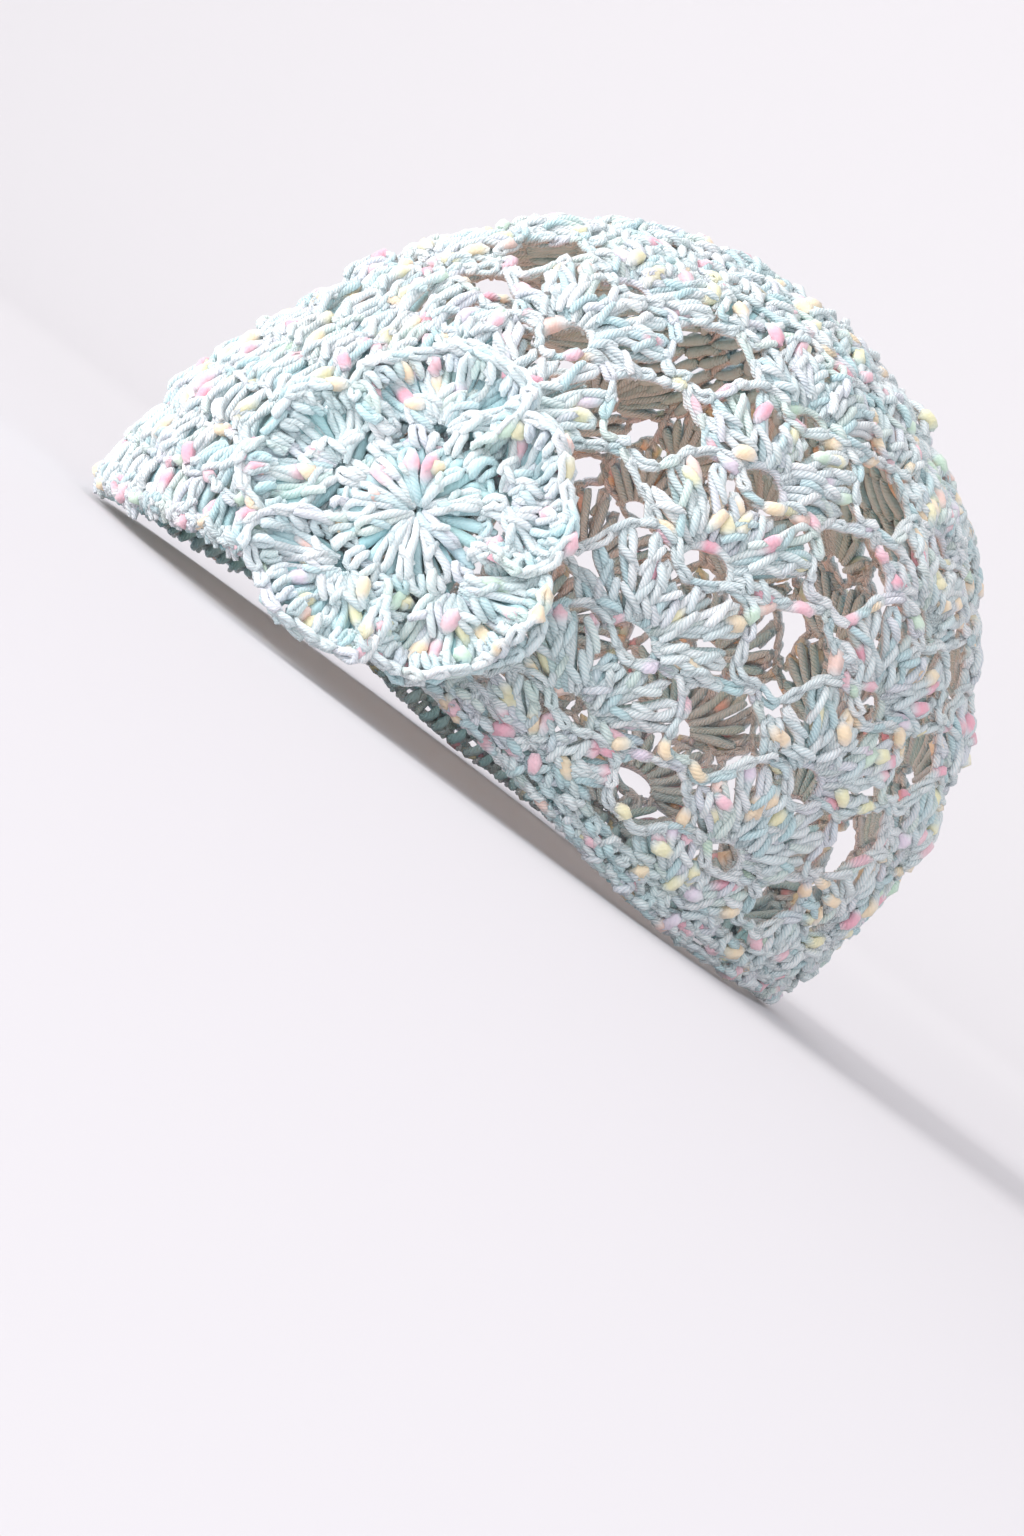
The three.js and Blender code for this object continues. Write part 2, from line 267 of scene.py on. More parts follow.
def flower_place(distance, turn, raised):
    """A place on the flower, by its distance from the middle and its direction there in radians."""
    given = [np.asarray(v, float) for v in (distance, turn, raised)]
    distance, turn, raised = np.broadcast_arrays(*given)
    middle = level(np.array(FLOWER_AZIMUTH)) * math.sin(math.radians(FLOWER_POLAR))
    middle[2] = math.cos(math.radians(FLOWER_POLAR))
    back = np.cross([0.0, 0.0, 1.0], middle)
    back /= np.linalg.norm(back)
    up = np.cross(middle, back)
    along = back * np.cos(turn)[..., None] + up * np.sin(turn)[..., None]
    angle = (distance / DOME_RADIUS)[..., None]
    return on_hat(middle * np.cos(angle) + along * np.sin(angle), FLOWER_LIFT + raised)


# Yarn

def lengths_along(path):
    """The way from the start of a path to each of its points."""
    return np.concatenate([[0], np.cumsum(np.linalg.norm(np.diff(path, axis=0), axis=1))])


def beside(bend):
    """How long a bent line is at each point, and what finds a place along it and to its left."""
    s = lengths_along(bend[:, :2])

    def place(x, y):
        ahead = np.interp(x + 0.4, s, bend[:, 0]) - np.interp(x - 0.4, s, bend[:, 0])
        aside = np.interp(x + 0.4, s, bend[:, 1]) - np.interp(x - 0.4, s, bend[:, 1])
        size = np.hypot(ahead, aside) + 1e-9
        px = np.interp(x, s, bend[:, 0]) - y * aside / size
        py = np.interp(x, s, bend[:, 1]) + y * ahead / size
        return px, py
    return s, place


class Skein:
    """Gathers lengths of yarn, and makes one mesh of them."""

    def __init__(self):
        self.points = []
        self.thick = []
        self.tint = []
        self.along = []

    def lay(self, path, radius=YARN_RADIUS, deep=0.0, nubs=True, taper=0.6, step=STEP):
        """One length of yarn along a path in millimetres."""
        path = smooth(np.asarray(path, float))
        s = lengths_along(path)
        count = max(4, int(math.ceil(s[-1] / step)) + 1)
        at = np.linspace(0, s[-1], count)
        points = np.stack([np.interp(at, s, path[:, k]) for k in range(3)], -1)
        for k, wave in enumerate((1.3, 1.7, 1.5)):
            points[:, k] += WANDER * np.sin(at / wave + rng.uniform(0, 6))
        sway = np.sin(at / 1.9 + rng.uniform(0, 6)) + np.sin(at / 0.83 + rng.uniform(0, 6))
        thick = radius * (1 + 0.05 * sway + 0.03 * rng.standard_normal(count))
        thick[0] *= taper
        thick[-1] *= taper
        turn = (0.5 + 0.5 * np.sin(at / 5.0 + rng.uniform(0, 6)))[:, None]
        tint = pick(BASE_TINTS) * turn + pick(BASE_TINTS) * (1 - turn)
        # Painted shade: yarn that lies in the depths is tinted toward a darker teal
        tint = tint + deep * (PAINTED_SHADE_TINT - tint)
        if nubs and rng.random() < s[-1] / NUB_EVERY:
            middle = rng.uniform(0.15, 0.85) * s[-1]
            half = NUB_LENGTH * rng.uniform(0.4, 0.62)
            near = np.exp(-np.abs((at - middle) / half) ** 5)
            fat = np.clip(1 - ((at - middle) / (1.25 * half)) ** 2, 0, 1) ** 0.6
            thick = thick * (1 + NUB_SWELL * rng.uniform(0.6, 1.15) * fat)
            tint = tint + near[:, None] * (pick(NUB_TINTS) - tint)
        self.points.append(points)
        self.thick.append(thick)
        self.tint.append(tint)
        self.along.append(at + rng.uniform(0, PLY_PITCH))

    def mesh(self, name):
        """Tubes round all the lengths, with the yarn's own coordinates kept on them."""
        starts = np.cumsum([0] + [len(p) for p in self.points])
        edges = []
        for first, after in zip(starts[:-1], starts[1:]):
            edges.extend((k, k + 1) for k in range(first, after - 1))
        lines = bpy.data.meshes.new(name + "_lines")
        lines.from_pydata((np.concatenate(self.points) + AXIS) * MM, edges, [])
        store(lines, "thick", "FLOAT", np.concatenate(self.thick) * MM)
        store(lines, "along", "FLOAT", np.concatenate(self.along))
        tint = np.concatenate(self.tint)
        store(lines, "tint", "FLOAT_COLOR", np.hstack([tint, np.ones((len(tint), 1))]))
        carrier = bpy.data.objects.new(name + "_lines", lines)
        bpy.context.scene.collection.objects.link(carrier)
        carrier.modifiers.new("tubes", "NODES").node_group = tube_nodes()
        graph = bpy.context.evaluated_depsgraph_get()
        made = bpy.data.meshes.new_from_object(carrier.evaluated_get(graph))
        made.name = name
        bpy.data.objects.remove(carrier)
        bpy.data.meshes.remove(lines)
        return made


def store(mesh, name, kind, values):
    """A number or a colour for each point of a mesh."""
    layer = mesh.attributes.new(name, kind, "POINT")
    layer.data.foreach_set("color" if kind == "FLOAT_COLOR" else "value", np.ravel(values))


def smooth(path, parts=4):
    """The same path with soft turns, by a Catmull-Rom curve through its points."""
    if len(path) < 3:
        return path
    p = np.vstack([2 * path[0] - path[1], path, 2 * path[-1] - path[-2]])
    t = np.linspace(0, 1, parts, endpoint=False)[:, None]
    runs = []
    for a, b, c, d in zip(p[:-3], p[1:-2], p[2:-1], p[3:]):
        runs.append(0.5 * (2 * b + (c - a) * t + (2 * a - 5 * b + 4 * c - d) * t**2
                           + (3 * b - a - 3 * c + d) * t**3))
    return np.vstack(runs + [path[-1:]])


def tube_nodes():
    """Geometry nodes that turn lines into tubes and keep where on its girth each point lies."""
    group = bpy.data.node_groups.get("yarn_tubes")
    if group:
        return group
    group = bpy.data.node_groups.new("yarn_tubes", "GeometryNodeTree")
    group.interface.new_socket("Geometry", in_out="INPUT", socket_type="NodeSocketGeometry")
    group.interface.new_socket("Geometry", in_out="OUTPUT", socket_type="NodeSocketGeometry")
    node = group.nodes.new
    link = group.links.new
    source = node("NodeGroupInput")
    curve = node("GeometryNodeMeshToCurve")
    thick = node("GeometryNodeInputNamedAttribute")
    thick.data_type = "FLOAT"
    thick.inputs["Name"].default_value = "thick"
    ring = node("GeometryNodeCurvePrimitiveCircle")
    ring.inputs["Resolution"].default_value = SIDES
    ring.inputs["Radius"].default_value = 1.0
    where = node("GeometryNodeInputPosition")
    mark = node("GeometryNodeStoreNamedAttribute")
    mark.data_type = "FLOAT_VECTOR"
    mark.domain = "POINT"
    mark.inputs["Name"].default_value = "girth"
    tube = node("GeometryNodeCurveToMesh")
    tube.inputs["Fill Caps"].default_value = True
    shade = node("GeometryNodeSetShadeSmooth")
    result = node("NodeGroupOutput")
    link(source.outputs[0], curve.inputs["Mesh"])
    link(curve.outputs["Curve"], tube.inputs["Curve"])
    link(thick.outputs[0], tube.inputs["Scale"])
    link(ring.outputs["Curve"], mark.inputs["Geometry"])
    link(where.outputs[0], mark.inputs["Value"])
    link(mark.outputs[0], tube.inputs["Profile Curve"])
    link(tube.outputs["Mesh"], shade.inputs["Geometry"])
    link(shade.outputs[0], result.inputs[0])
    return group


# Heights of a loop off the cloth, from its feet to its turn
LOOP_HEIGHTS = (-0.55, 0.35, 0.5, 0.2, -0.2)
CHAIN_HEIGHTS = (-0.45, -0.1, 0.2, 0.35, 0.3)


def loop(skein, chart, feet, tips, bow=0.0, depth=0.0, over=0.8, heights=LOOP_HEIGHTS,
         units=(1.0, 1.0), crossed=0.0, **yarn):
    """Two legs from their feet to their tips, joined by a turn past the tips; a bow spreads the legs."""
    (ax, ay), (bx, by) = [np.array(f) * units for f in feet]
    over_under = rng.choice([-1, 1]) * 0.3
    if rng.random() < crossed:
        ax, ay, bx, by = bx, by, ax, ay
    (cx, cy), (dx, dy) = [np.array(f) * units for f in tips]
    t = np.array([0, 0.3, 0.62, 0.9])
    belly = bow * np.sin(np.pi * t)
    side = np.array([cy - ay, ax - cx]) / (math.hypot(cx - ax, cy - ay) + 1e-9)
    left = np.stack([ax + (cx - ax) * t, ay + (cy - ay) * t], -1) - belly[:, None] * side
    right = np.stack([bx + (dx - bx) * t, by + (dy - by) * t], -1) + belly[:, None] * side
    top = np.array([(cx + dx) / 2, (cy + dy) / 2])
    out = top - np.array([(ax + bx) / 2, (ay + by) / 2])
    top = top + out / (np.linalg.norm(out) + 1e-9) * over
    path = np.vstack([left, top, right[::-1]])
    h = np.array([*heights, *heights[3::-1]]) + depth + rng.normal(0, 0.15, 9)
    h = h + over_under * np.array([0, 0.8, 1, 0.5, 0, -0.5, -1, -0.8, 0])
    path = path + rng.normal(0, 0.13, path.shape)
    skein.lay(chart(path[:, 0] / units[0], path[:, 1] / units[1], h), **yarn)


def wrap(skein, chart, foot, tip, width, units=(1.0, 1.0), raised=0.9, start=0.2, **yarn):
    """The yarn that is wrapped slantwise over a post, from its foot to its tip."""
    foot = np.array(foot) * units
    tip = np.array(tip) * units
    way = tip - foot
    side = np.array([way[1], -way[0]]) / (np.linalg.norm(way) + 1e-9) * width
    hand = rng.choice([-1, 1])
    t = start + rng.normal(0, 0.05) + np.array([0.0, 0.1, 0.22, 0.32]) * rng.uniform(0.9, 1.3)
    across = hand * np.array([-1.0, -0.45, 0.45, 1.0])
    path = foot + t[:, None] * way + across[:, None] * side
    h = np.array([-0.5, 0.1, 0.1, -0.5]) + raised + rng.normal(0, 0.1)
    skein.lay(chart(path[:, 0] / units[0], path[:, 1] / units[1], h), taper=0.8, **yarn)


def chain(skein, chart, corners, units=(1.0, 1.0), raised=0.5, **yarn):
    """A crochet chain along corners (across, up): loops that lie one in the next."""
    s, place = beside(smooth(np.asarray(corners, float), 6) * np.array(units))

    def along(x, y, lift):
        px, py = place(x, y)
        return chart(px / units[0], py / units[1], lift + raised)

    count = max(2, int(round(s[-1] / CHAIN_STITCH)))
    stitch = s[-1] / count
    for k in range(count):
        x = max(0.0, (k + rng.normal(0, 0.07)) * stitch)
        end = min(x + 1.3 * stitch, s[-1])
        half = CHAIN_HALF + rng.normal(0, 0.04)
        loop(skein, along, [(x, -0.2), (x, 0.2)], [(end, -half), (end, half)], bow=0.12, over=0.3,
             heights=CHAIN_HEIGHTS, radius=CHAIN_RADIUS, step=CHAIN_STEP, **yarn)


# Lace: a fan is laid out in millimetres across and up from the middle of its small hole

# How far a stitch reaches at each angle from upright
FAN_REACH = [(0, 9.6), (12, 10.9), (24, 14.2), (36, 14.8), (48, 13.6), (60, 11.8), (78, 10.0)]
FAN_EDGE = [(15.5, 7.2), (12.4, 6.3), (10.9, 8.6), (9.8, 11.8),
            (7.2, 14.3), (4.3, 14.4), (2.4, 12.4), (0, 11.4)]
# The chains at a fan's foot, and the yarn that closes them
FAN_LOWER = [(2.9, 0.5), (6.2, 0.9), (10.2, 3.2), (15.5, 6.2)]
FAN_CLOSE = [(8.0, 0.2), (9.0, 1.6), (10.2, 4.0)]
FAN_HALF_ANGLE = 74.0
FAN_LOOPS = 11
FAN_WRAPS = (0.14, 0.52)  # where on a stitch the yarn is wrapped round it, as shares of its height
FOOT = 3.4  # from the middle of the small hole to the foot of each leg
HOLE_RING = 3.7


def fan_point(angle, reach, squash, lift):
    """A point of a fan by its angle from upright and its reach."""
    a = math.radians(angle)
    return reach * math.sin(a), reach * math.cos(a) * squash + lift


def fan_posts(skein, chart, width, squash=1.0, lift=0.0):
    """The stitches of one shell, which stand round the top of the small hole."""
    loops = max(5, int(round(FAN_LOOPS * min(1.0, 0.25 + 0.8 * width))))
    angles, reaches = zip(*FAN_REACH)
    gap = 2 * FAN_HALF_ANGLE / loops
    for k in range(loops):
        middle = gap * (k + 0.5) - FAN_HALF_ANGLE + rng.normal(0, 2.2)
        tilt = rng.normal(0, 2.0)
        spread = gap * rng.uniform(0.15, 0.24)
        depth = rng.normal(0.25, 0.25)
        feet = [fan_point(0.82 * (middle - tilt + s * 0.8 * spread), FOOT, squash, lift) for s in (-1, 1)]
        tips = []
        for s in (-1, 1):
            angle = middle + tilt + s * spread
            reach = np.interp(abs(angle), angles, reaches) + 0.2 + rng.normal(0, 0.45)
            tips.append(fan_point(angle, reach, squash, lift))
        loop(skein, chart, feet, tips, bow=-0.1, depth=depth, over=0.4, crossed=0.6)
        foot = np.mean(feet, axis=0)
        tip = np.mean(tips, axis=0)
        for start in FAN_WRAPS:
            wrap(skein, chart, foot, tip, 0.9, raised=1.0 + depth, start=start)


def fan_backing(skein, chart, squash=1.0, lift=0.0):
    """The yarn that shows in the depth between the stitches of one shell."""
    angles, reaches = zip(*FAN_REACH)
    count = FAN_LOOPS - 1
    for k in range(count):
        angle = FAN_HALF_ANGLE * (2 * (k + 0.5) / count - 1) + rng.normal(0, 1.5)
        reach = np.interp(abs(angle), angles, reaches) - 0.3
        x, y = zip(*[fan_point(angle, r, squash, lift) for r in (FOOT, 0.5 * reach, reach)])
        path = chart(np.array(x), np.array(y), np.array([-1.1, -0.9, -0.7]))
        # Painted shade: the backing is tinted teal
        skein.lay(path, LACE_BACKING_RADIUS, deep=0.3, nubs=False)


def mirrored(corners):
    """The corners on the left, from the outside in, and then those on the right, back out."""
    return [(-x, y) for x, y in corners] + [(x, y) for x, y in corners[::-1]]


def fan_chains(skein, chart, squash=1.0, lift=0.0, foot=True):
    """The edge of one shell, and the chains that join it to the next ones."""
    edge = mirrored(FAN_EDGE[:-1] + [(0.01, FAN_EDGE[-1][1])])
    fit = [(x, y * squash + lift) for x, y in edge]
    chain(skein, chart, fit, raised=0.55)
    if not foot:
        return
    for side in (-1, 1):
        chain(skein, chart, [(side * x, y) for x, y in FAN_LOWER], raised=0.2)
        x, y = np.array(FAN_CLOSE).T
        skein.lay(chart(side * x, y, np.array([0.0, 0.4, 0.1])))
    ring = np.radians(np.linspace(-100, 100, 9))
    skein.lay(chart(HOLE_RING * np.sin(ring), (HOLE_RING - 0.1) * np.cos(ring), np.full(9, -0.3)))


def fans():
    """Every fan of the lace: its column, its round and how wide its column is there."""
    places = []
    for row in LACE_ROUNDS:
        for column in range(REPEATS):
            azimuth = (FIRST_FAN + REPEAT_ANGLE * column + 180) % 360 - 180
            if abs(azimuth) < NO_FANS.get(row, 0.0):
                continue
            polar = LOWEST_ROUND - ROW_ANGLE * row
            aside = math.cos(math.radians(azimuth - SPREAD_AZIMUTH))
            spread = 1 + math.radians(SPREAD_PER_ROUND * row) * aside
            width = math.sin(math.radians(polar)) * spread
            places.append((column, row, width))
    return places


def fan_places():
    """The chart and width of every fan, whether it stands on the band, and its squash and lift."""
    for column, row, width in fans():
        on_band = row < 0
        fit = (LOWEST_SQUASH, LOWEST_LIFT) if on_band else (1.0, 0.0)
        yield lace_chart(column, row), width, on_band, fit


def lace_posts():
    """The looped stitches of all the fans."""
    skein = Skein()
    for chart, width, _, fit in fan_places():
        fan_posts(skein, chart, width, *fit)
    return skein


def lace_chains():
    """The chains that edge the fans and join them round the holes."""
    skein = Skein()
    for chart, _, on_band, fit in fan_places():
        fan_chains(skein, chart, *fit, foot=not on_band)
    return skein


def lace_backing():
    """The yarn that lies deeper in the fans."""
    skein = Skein()
    for chart, _, _, fit in fan_places():
        fan_backing(skein, chart, *fit)
    return skein


# Close rows

CROWN_ROUNDS = 6
CROWN_STITCH = 2.6
CROWN_CENTRE = 1.6  # polar angle where the innermost round begins
CROWN_DEPTH = -1.0
CLOSE_DEPTH = -1.2
BAND_ROWS = 2
BAND_STITCH = 3.1
BAND_LENGTH = 236.0  # along the rim
BAND_HEIGHT = 13.0
BAND_FOOT = 1.3  # from the floor to the middle of the lowest yarn
PEAK_ROWS = 4
PEAK_STITCH = 2.9
PEAK_LENGTH = 150.0
PEAK_HEIGHT = 33.0
PEAK_FOOT = 1.8
FRONT_STITCH = 2.7
FRONT_LOW = 76.0  # polar angles of the close rows above the peak
FRONT_TOP = 62.5
RIM_STITCH = 2.6
RIM_HEIGHTS = (-0.3, 0.3, 0.4, 0.3, 0.0)


def close_rows(skein, chart, rows, stitch, lean=0.25, ends=(0.0, 1.0), closed=False):
    """Rows of stitches over a chart from v = 0 to 1: looped legs, a chain on each row and yarn behind."""
    for row in range(rows):
        v0 = row / rows
        v1 = (row + 1) / rows
        marks = np.linspace(*ends, 90)
        run = lengths_along(chart(marks, np.full(90, (v0 + v1) / 2), np.zeros(90)))
        length = run[-1] / (ends[1] - ends[0])
        tall = np.linalg.norm(chart(np.array([0.5]), np.array([v1]), np.zeros(1))
                              - chart(np.array([0.5]), np.array([v0]), np.zeros(1)))
        units = (length, tall * rows)
        count = max(6, int(round(run[-1] / stitch)))
        offset = rng.uniform(0, 1) if closed else 0.5
        for k in range(count):
            share = (k + offset + rng.normal(0, 0.09)) / count
            u, after = np.interp(np.array([share, share + 1 / count]) * run[-1], run, marks)
            step = max(after - u, 0.5 / count)
            tilt = rng.normal(lean, 0.25) * (1 if row % 2 else -1)
            high = v0 + (v1 - v0) * (0.92 + rng.normal(0, 0.08))
            low = v0 - (v1 - v0) * (0.08 + rng.normal(0, 0.05))
            depth = 0.3 + rng.normal(0, 0.35)
            wide = rng.uniform(0.16, 0.26) * step
            loop(skein, chart, [(u - wide, low), (u + wide, low)],
                 [(u + tilt * step - wide, high), (u + tilt * step + wide, high)],
                 bow=rng.normal(-0.05, 0.12), depth=depth, over=0.5, units=units, crossed=0.5)
            wrap(skein, chart, (u, low), (u + tilt * step, high), 0.33 * stitch, units, raised=0.95 + depth)
            us = u + step * np.array([0.5, 0.5 + tilt, 0.5 + tilt])
            behind = chart(us, v0 + (v1 - v0) * np.array([-0.05, 0.5, 1.05]), np.full(3, -0.9))
            # Painted shade: the yarn behind the stitches is tinted teal
            skein.lay(behind, CLOSE_BACKING_RADIUS, deep=0.5, nubs=False)
        us = np.linspace(ends[0], ends[1], max(8, int(length / 3)))
        wobble = 0.09 * (v1 - v0) * rng.standard_normal(len(us))
        vs = np.full(len(us), v1 - 0.02 * (v1 - v0)) + wobble
        row_chain(skein, chart, us, vs, *units, raised=0.3 + rng.normal(0, 0.2))


def row_chain(skein, chart, us, vs, length, height, raised=0.3):
    """A chain along a row, whose chart runs from 0 to 1 over this length and height."""
    chain(skein, chart, np.stack([us, vs], -1), units=(length, height), raised=raised)


def crown_rounds():
    """Close rounds up to the middle of the crown."""
    skein = Skein()
    chart = round_chart(0, 360, CROWN_EDGE - 1.5, CROWN_CENTRE, CROWN_DEPTH)
    close_rows(skein, chart, CROWN_ROUNDS, CROWN_STITCH, closed=True)
    return skein


def rim_edge(skein, chart, length, height):
    """Small loops that turn round the rim, and a chain on them."""
    units = (length, height)
    count = int(length / RIM_STITCH)
    for k in range(count):
        u = (k + 0.5 + rng.normal(0, 0.1)) / count
        half = 0.25 / count
        loop(skein, chart, [(u - half, RIM_STITCH / height), (u + half, RIM_STITCH / height)],
             [(u - 1.5 * half, 0.5 / height), (u + 1.5 * half, 0.5 / height)],
             over=0.35, depth=0.3, units=units, heights=RIM_HEIGHTS)
    us = np.linspace(0, 1, int(length / 3))
    vs = (1.1 + 0.3 * rng.standard_normal(len(us))) / height
    row_chain(skein, chart, us, vs, *units, raised=0.6)


def band_rows():
    """The close rows round the sides and the nape, and their rim."""
    skein = Skein()
    chart = rim_chart(PEAK_TO, PEAK_FROM + 360, BAND_TOP, CLOSE_DEPTH, BAND_FOOT)
    close_rows(skein, chart, BAND_ROWS, BAND_STITCH)
    rim_edge(skein, chart, BAND_LENGTH, BAND_HEIGHT)
    return skein


def peak_rows():
    """The flared front, its shell edge, and the close rows above it."""
    skein = Skein()
    chart = rim_chart(PEAK_FROM, PEAK_TO, PEAK_TOP, CLOSE_DEPTH, PEAK_FOOT)
    close_rows(skein, chart, PEAK_ROWS, PEAK_STITCH, lean=0.5)
    rim_edge(skein, chart, PEAK_LENGTH, PEAK_HEIGHT)
    low = round_chart(PEAK_FROM, PEAK_TO, PEAK_TOP, FRONT_LOW, CLOSE_DEPTH)
    close_rows(skein, low, 1, FRONT_STITCH, lean=0.45)
    front = round_chart(FRONT_FROM, FRONT_TO, FRONT_LOW, FRONT_TOP, CLOSE_DEPTH)
    close_rows(skein, front, 2, FRONT_STITCH, lean=0.45)
    return skein


# Flower

PETALS = 5
FIRST_PETAL = 44.0
ROSETTE_POSTS = 13
ROSETTE_REACH = 8.0
PETAL_FOOT = 10.8
PETAL_LOOPS = 10
PETAL_HALF_ANGLE = 37.0
# From the middle of the flower to the top of each petal's rim
PETAL_REACHES = [18.6, 20.6, 18.8, 19.0, 20.8]
# Half of a petal's rim: share of its reach, share of its half angle, and height off the cloth
RIM_WAY = [(0.5, 0.88, 1.8), (0.66, 1.04, 4.0), (0.83, 1.02, 5.6),
           (0.945, 0.78, 6.4), (0.99, 0.42, 6.4), (1.0, 0.0, 6.0)]
RIM_LAYERS = ((0.0, 0.0, 0.0), (0.5, 1.5, 0.1))  # out, down and how much painted shade is mixed into its tint
RIM_LOOP_EVERY = 2.5
RIM_LOOP_LENGTH = 3.3
RIM_LOOP_HEIGHTS = (-0.2, 0.2, 0.5, 0.85, 1.0)
UNDER_EVERY = 2.1  # the small stitches under the rim
UNDER_HEIGHTS = (-1.6, -1.0, -0.6, -0.2, -0.1)
POST_HEIGHTS = (-0.5, 0.7, 0.9, 0.4, -0.6)
POST_DEPTH = 2.4
RING_REACH = 9.0
RING_LOOPS = 22
RING_HEIGHTS = (-0.6, 0.3, 0.5, 0.1, -0.4)


def flower_chart(x, y, raised):
    """Millimetres on the flower, x toward the back and y up."""
    return flower_place(np.hypot(x, y), np.arctan2(y, x), raised)


def round_point(distance, turn):
    """A point on the flower by its distance and direction from the middle."""
    return distance * math.cos(turn), distance * math.sin(turn)


def rosette():
    """Long stitches round the middle of the flower, a chain round them and small loops on it."""
    skein = Skein()
    gap = 2 * math.pi / ROSETTE_POSTS
    for k in range(ROSETTE_POSTS):
        turn = gap * (k + rng.normal(0, 0.12))
        reach = ROSETTE_REACH + rng.normal(0, 0.6)
        wide = gap * rng.uniform(0.15, 0.22)
        depth = POST_DEPTH + rng.normal(0, 0.25)
        bend = rng.normal(0, 0.1)
        loop(skein, flower_chart, [round_point(0.8, turn - 0.4), round_point(0.8, turn + 0.4)],
             [round_point(reach, turn + bend - wide), round_point(reach, turn + bend + wide)],
             bow=0.02, depth=depth, over=0.3, heights=POST_HEIGHTS)
        wrap(skein, flower_chart, round_point(0.35 * reach, turn), round_point(reach, turn + bend), 0.8,
             raised=1.2 + depth)
        for shift in (0.25, 0.75):
            ends = [round_point(r, turn + gap * shift) for r in (1.0, 5.0, 10.2)]
            behind = flower_chart(*np.array(ends).T, np.array([1.4, 1.9, 1.3]))
            # Painted shade: the yarn behind the posts is tinted teal
            skein.lay(behind, FLOWER_BACKING_RADIUS, deep=0.5, nubs=False)
    ring = [round_point(RING_REACH + rng.normal(0, 0.3), a) for a in np.linspace(0, 2 * math.pi, 20)]
    # Painted shade: the chain round the posts is tinted a little teal
    chain(skein, flower_chart, ring, raised=1.5, deep=0.2)
    for k in range(RING_LOOPS):
        turn = 2 * math.pi * (k + rng.normal(0, 0.2)) / RING_LOOPS
        low = RING_REACH - 1.0 + rng.normal(0, 0.3)
        high = RING_REACH + 1.6 + rng.normal(0, 0.5)
        depth = POST_DEPTH - 0.1 + rng.normal(0, 0.3)
        loop(skein, flower_chart, [round_point(low, turn - 0.06), round_point(low, turn + 0.06)],
             [round_point(high, turn - 0.04), round_point(high, turn + 0.09)], depth=depth,
             over=0.4, heights=RING_HEIGHTS, crossed=0.5)
    return skein


def petal(number):
    """A shell that spreads from one place on the rosette's edge, cupped, with a thick raised rim."""
    skein = Skein()
    middle = math.radians(FIRST_PETAL + 360.0 / PETALS * number)
    half = math.radians(PETAL_HALF_ANGLE)
    foot = np.array(round_point(PETAL_FOOT, middle))
    outer = PETAL_REACHES[number]
    phase = rng.uniform(0, 6)

    def wave(side):
        slow = 1.3 * math.cos(2.2 * math.pi * side + phase)
        return slow + 0.7 * math.cos(5.1 * math.pi * side + 2 * phase)

    def reach_at(side):
        return outer - 1.2 - 3.2 * abs(side) ** 2.5

    def foot_at(side, out):
        turn = middle + 1.8 * side
        return foot[0] + out * math.cos(turn), foot[1] + out * math.sin(turn)

    gap = 2.0 / PETAL_LOOPS
    for k in range(PETAL_LOOPS):
        side = gap * (k + 0.5) - 1 + rng.normal(0, 0.04)
        wide = gap * rng.uniform(0.15, 0.22)
        feet = [foot_at(side - 0.6 * wide, 1.1), foot_at(side + 0.6 * wide, 1.1)]
        tips = [round_point(reach_at(s) + rng.normal(0, 0.4), middle + half * s)
                for s in (side - wide, side + wide)]
        rise = 5.0 + wave(side)
        # Painted shade: some loops are tinted a little teal, by chance
        deep = 0.2 * rng.uniform(0, 1) ** 1.5
        loop(skein, flower_chart, feet, tips, bow=-0.08, over=0.4, deep=deep, crossed=0.6,
             heights=(2.3, 3.0, 2.3, 0.7 * rise, rise))
        wrap(skein, flower_chart, np.mean(feet, axis=0), np.mean(tips, axis=0), 0.85, raised=3.5)
    count = 2 * PETAL_LOOPS - 2
    for k in range(count):
        side = 2 * (k + 0.5) / count - 1
        start = foot_at(side, 0.8)
        end = round_point(reach_at(side) + 0.6, middle + half * side)
        line = np.array([start, ((start[0] + end[0]) / 2, (start[1] + end[1]) / 2), end]).T
        behind = flower_chart(*line, np.array([0.9, 0.9, 3.6 + wave(side)]))
        # Painted shade: the yarn behind the petal is tinted teal
        skein.lay(behind, FLOWER_BACKING_RADIUS, deep=0.55, nubs=False)
    way = [(outer * r, -s, h) for r, s, h in RIM_WAY]
    way += [(outer * r, s, h) for r, s, h in RIM_WAY[-2::-1]]
    # Painted shade: the lower, outer layer of the rim is tinted a little teal
    for out, drop, deep in RIM_LAYERS:
        wobble = rng.normal(0, 0.45, (len(way), 2))
        corners = np.array([round_point(r + out, middle + half * s) for r, s, h in way]) + wobble
        lifts = np.array([h - drop + wave(s) for r, s, h in way]) + rng.normal(0, 0.3, len(way))
        petal_edge(skein, corners, lifts, deep, under=0.15)
    return skein


